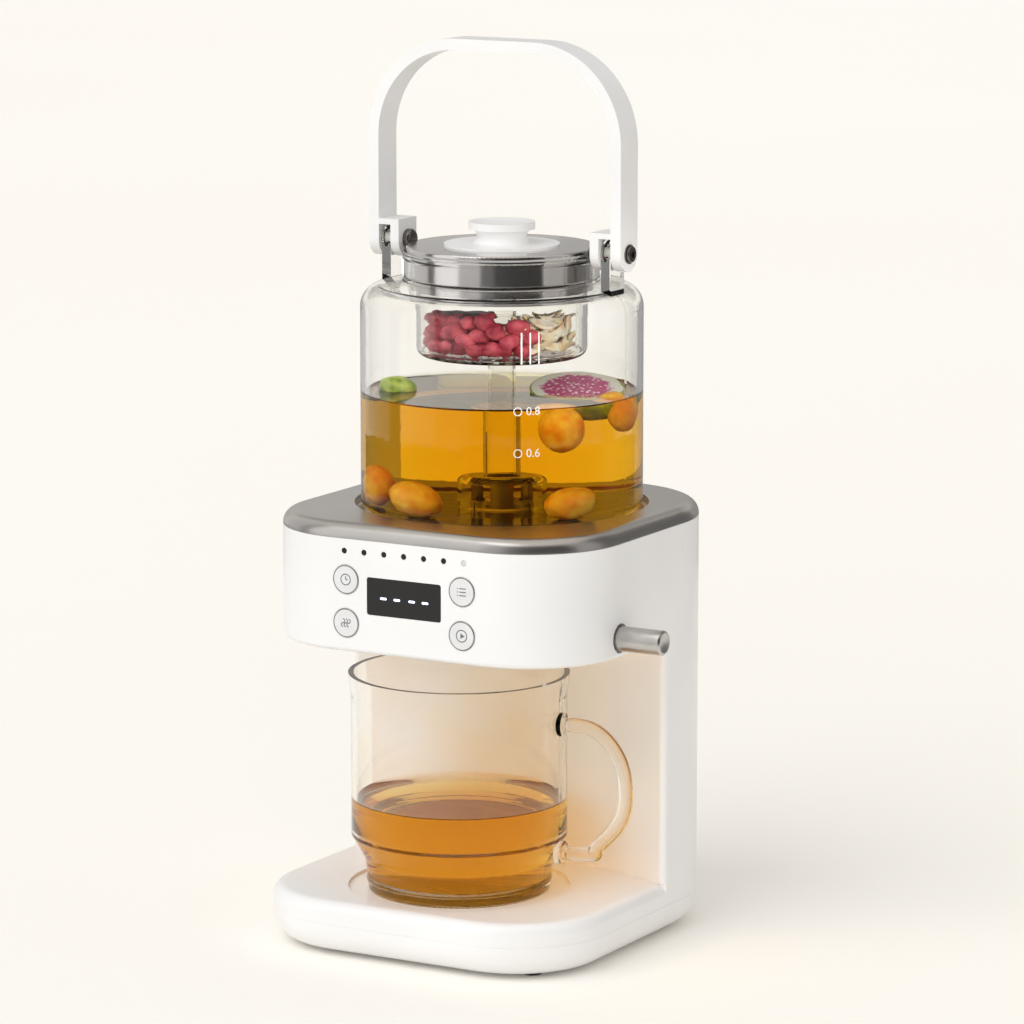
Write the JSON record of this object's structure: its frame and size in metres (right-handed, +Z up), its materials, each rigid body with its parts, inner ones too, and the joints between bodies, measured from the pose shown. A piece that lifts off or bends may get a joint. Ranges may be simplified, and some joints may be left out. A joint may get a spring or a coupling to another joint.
{
  "type": "automatic tea maker",
  "caption": "Countertop tea maker with a lidded glass kettle and infuser on a heated C-shaped body, a side pour rod and a glass mug below.",
  "frame": {"origin": "middle of the whole outline in plan, on the floor plane under the rubber feet", "axes": "+Z up, -Y the front with the display, +X the side with the pour rod and the mug's handle"},
  "size_m": [0.1926, 0.181, 0.4185],
  "materials": {
    "white_abs": "satin white moulded plastic",
    "grey_button": "pale grey plastic",
    "black_rubber": "matt rubber",
    "silicone": "translucent silicone",
    "steel": "brushed stainless steel",
    "dark_steel": "dark satin steel",
    "screw_steel": "zinc-plated steel",
    "spring_steel": "spring steel",
    "cast_aluminium": "machined aluminium",
    "clear_glass": "clear borosilicate glass",
    "black_glass": "black tinted panel",
    "black_led": "dark indicator lens",
    "acetal": "natural acetal",
    "grey_nylon": "heat-proof nylon",
    "circuit_board": "green circuit board",
    "black_plastic": "black moulded plastic",
    "brass": "nickel-free brass"
  },
  "bodies": {
    "machine": {"housing_shell": "white_abs", "base_pan": "white_abs", "rear_cover": "white_abs", "rubber_feet": "black_rubber", "base_screws": "screw_steel", "rear_screws": "screw_steel", "power_inlet": "black_plastic", "inlet_pins": "brass", "power_board": "circuit_board", "power_parts": "black_plastic", "power_screws": "screw_steel", "steel_deck": "steel", "heater_tray": "grey_nylon", "tray_screws": "screw_steel", "plate_seal": "silicone", "heating_plate": "cast_aluminium", "plate_screws": "screw_steel", "heating_element": "dark_steel", "temp_sensor": "steel", "outlet_funnel": "grey_nylon", "outlet_nozzle": "steel", "pour_hose": "silicone", "rod_guide": "acetal", "guide_screws": "screw_steel", "rod_bush": "acetal", "rod_spring": "spring_steel", "tact_switches": "black_plastic", "display_window": "black_glass", "display_module": "black_plastic", "status_leds": "black_led", "control_board": "circuit_board", "board_screws": "screw_steel"},
    "kettle": {"kettle_glass": "clear_glass", "lug_bushes": "silicone", "valve_body": "steel", "valve_gaskets": "silicone", "valve_nut": "steel", "valve_cage": "steel", "riser_tube": "clear_glass", "valve_spring": "spring_steel"},
    "poppet": {"valve_poppet": "silicone"},
    "bail": {"bail_handle": "white_abs", "bail_bolts": "dark_steel", "bail_nuts": "dark_steel"},
    "infuser": {"infuser_collar": "steel", "infuser_cup": "clear_glass"},
    "lid": {"lid_seal": "silicone", "lid_plate": "steel", "lid_knob": "white_abs", "lid_screw": "screw_steel"},
    "mug": {"mug_glass": "clear_glass"},
    "rod": {"pour_rod": "steel", "rod_clip": "spring_steel", "lift_ramp": "acetal"},
    "yoke": {"lift_yoke": "acetal"},
    "schedule_button": {"button_schedule": "grey_button"},
    "warm_button": {"button_warm": "grey_button"},
    "mode_button": {"button_mode": "grey_button"},
    "start_button": {"button_start": "grey_button"}
  },
  "joints": [
    {"name": "kettle_lift", "type": "slide", "parent": "machine", "child": "kettle", "axis": [0, 0, 1], "range_m": [0, 0.08]},
    {"name": "bail_hinge", "type": "hinge", "parent": "kettle", "child": "bail", "pos_m": [-0.01135, 0.0105, 0.323], "axis": [1, 0, 0], "range_deg": [-90, 90]},
    {"name": "infuser_lift", "type": "slide", "parent": "kettle", "child": "infuser", "axis": [0, 0, 1], "range_m": [0, 0.054]},
    {"name": "lid_lift", "type": "slide", "parent": "infuser", "child": "lid", "axis": [0, 0, 1], "range_m": [0, 0.02]},
    {"name": "mug_slide", "type": "slide", "parent": "machine", "child": "mug", "axis": [0, -0.9905, 0.1377], "range_m": [0, 0.105]},
    {"name": "rod_push", "type": "slide", "parent": "machine", "child": "rod", "axis": [-1, 0, 0], "range_m": [0, 0.008], "stiffness_N_per_m": 250, "springref_m": -0.006, "deforming": ["rod_spring"]},
    {"name": "yoke_lift", "type": "slide", "parent": "machine", "child": "yoke", "axis": [0, 0, 1], "range_m": [0, 0.004]},
    {"name": "valve_lift", "type": "slide", "parent": "kettle", "child": "poppet", "axis": [0, 0, 1], "range_m": [0, 0.004], "deforming": ["valve_spring"]},
    {"name": "schedule_press", "type": "slide", "parent": "machine", "child": "schedule_button", "axis": [0, 1, 0], "range_m": [0, 0.0008], "stiffness_N_per_m": 600, "springref_m": -0.0005},
    {"name": "warm_press", "type": "slide", "parent": "machine", "child": "warm_button", "axis": [0, 1, 0], "range_m": [0, 0.0008], "stiffness_N_per_m": 600, "springref_m": -0.0005},
    {"name": "mode_press", "type": "slide", "parent": "machine", "child": "mode_button", "axis": [0, 1, 0], "range_m": [0, 0.0008], "stiffness_N_per_m": 600, "springref_m": -0.0005},
    {"name": "start_press", "type": "slide", "parent": "machine", "child": "start_button", "axis": [0, 1, 0], "range_m": [0, 0.0008], "stiffness_N_per_m": 600, "springref_m": -0.0005}
  ],
  "couplings": [
    {"joint": "yoke_lift", "follows": "rod_push", "ratio": 0.5},
    {"joint": "valve_lift", "follows": "rod_push", "ratio": 0.5}
  ]
}
